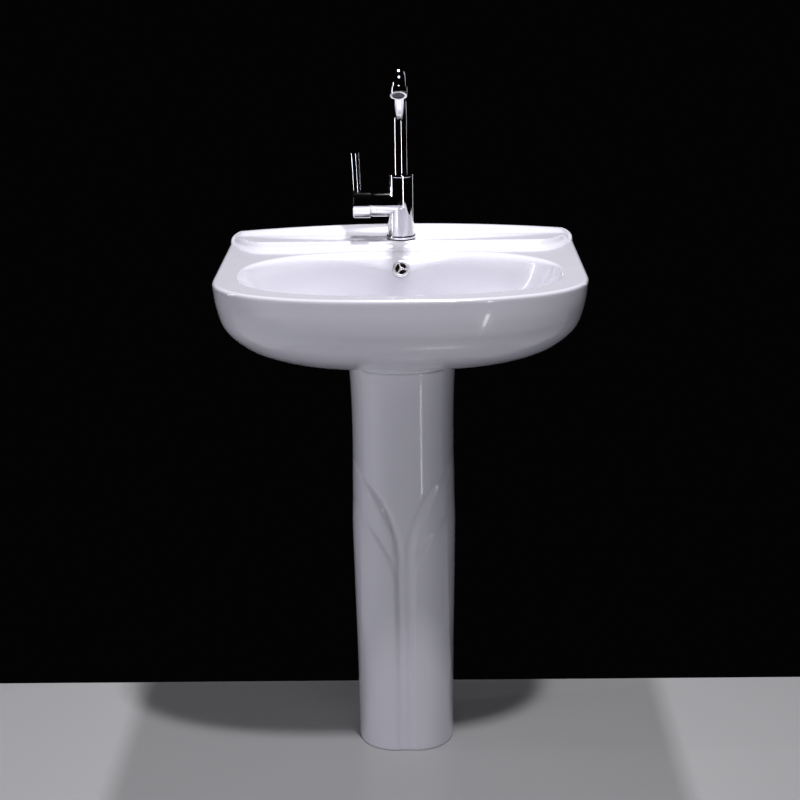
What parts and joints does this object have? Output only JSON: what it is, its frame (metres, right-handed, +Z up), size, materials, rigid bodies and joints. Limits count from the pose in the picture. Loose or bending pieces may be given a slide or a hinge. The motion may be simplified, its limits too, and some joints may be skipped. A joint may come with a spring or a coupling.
{
  "type": "pedestal sink",
  "caption": "Glazed washbasin on a hollow pedestal, with a chrome side-lever mixer tap, tall swivel spout, press plug waste and bottle trap.",
  "frame": {"origin": "on the floor, below the middle of the basin's bounding box", "axes": "+Z up, +X to the user's right, +Y towards the wall that the basin's back stands against"},
  "size_m": [0.5684, 0.44, 1.116],
  "materials": {
    "glaze": "white sanitary glaze, glossy",
    "chrome": "polished chrome plate",
    "rubber": "black sealing rubber",
    "copper": "drawn copper pipe",
    "steel": "zinc-plated steel",
    "brass": "turned brass",
    "white_plastic": "moulded acetal",
    "dark_plastic": "moulded mesh",
    "disc_ceramic": "lapped alumina",
    "trap_plastic": "white moulded polypropylene"
  },
  "bodies": {
    "sink": {"basin": "glaze", "pedestal": "glaze", "overflow_grille": "chrome", "tap_base_seal": "rubber", "tap_base_ring": "chrome", "tap_body": "chrome", "hot_tail": "copper", "cold_tail": "copper", "fixing_rubber": "rubber", "fixing_plate": "steel", "fixing_stud": "brass", "fixing_nut": "brass", "spout_bush": "white_plastic", "spout_seals": "rubber", "spout_cap": "chrome", "cartridge_body": "white_plastic", "cartridge_fixed_disc": "disc_ceramic", "cartridge_nut": "brass", "valve_dome": "chrome", "waste_top_seal": "rubber", "waste_flange": "chrome", "waste_body": "brass", "waste_bottom_seal": "rubber", "waste_nut": "brass", "click_cartridge": "white_plastic", "trap_inlet_nut": "trap_plastic", "trap_inlet_washer": "rubber", "trap_body": "trap_plastic", "trap_cup": "trap_plastic", "trap_cup_seal": "rubber", "trap_outlet_nut": "trap_plastic", "trap_outlet_washer": "rubber", "outlet_pipe": "trap_plastic"},
    "spout_unit": {"spout": "chrome", "spout_clip": "steel", "aerator_housing": "chrome", "aerator_insert": "dark_plastic", "aerator_washer": "rubber"},
    "valve_rotor": {"cartridge_rotor": "white_plastic", "cartridge_moving_disc": "disc_ceramic", "cartridge_pin": "steel"},
    "lever_unit": {"cartridge_stem": "steel", "handle_hub": "chrome", "lever_rod": "chrome", "handle_screw": "steel"},
    "plug_unit": {"waste_plug": "chrome", "plug_seal": "rubber"}
  },
  "joints": [
    {"name": "spout_swivel", "type": "hinge", "parent": "sink", "child": "spout_unit", "pos_m": [0, 0.1655, 0.93], "axis": [0, 0, 1], "range_deg": [-60, 60]},
    {"name": "lever_turn", "type": "hinge", "parent": "sink", "child": "valve_rotor", "pos_m": [-0.042, 0.1655, 0.883], "axis": [1, 0, 0], "range_deg": [0, 90]},
    {"name": "lever_tilt", "type": "hinge", "parent": "valve_rotor", "child": "lever_unit", "pos_m": [-0.042, 0.1655, 0.883], "axis": [0, -1, 0], "range_deg": [0, 22]},
    {"name": "plug_travel", "type": "slide", "parent": "sink", "child": "plug_unit", "axis": [0, 0, 1], "range_m": [0, 0.009]}
  ]
}
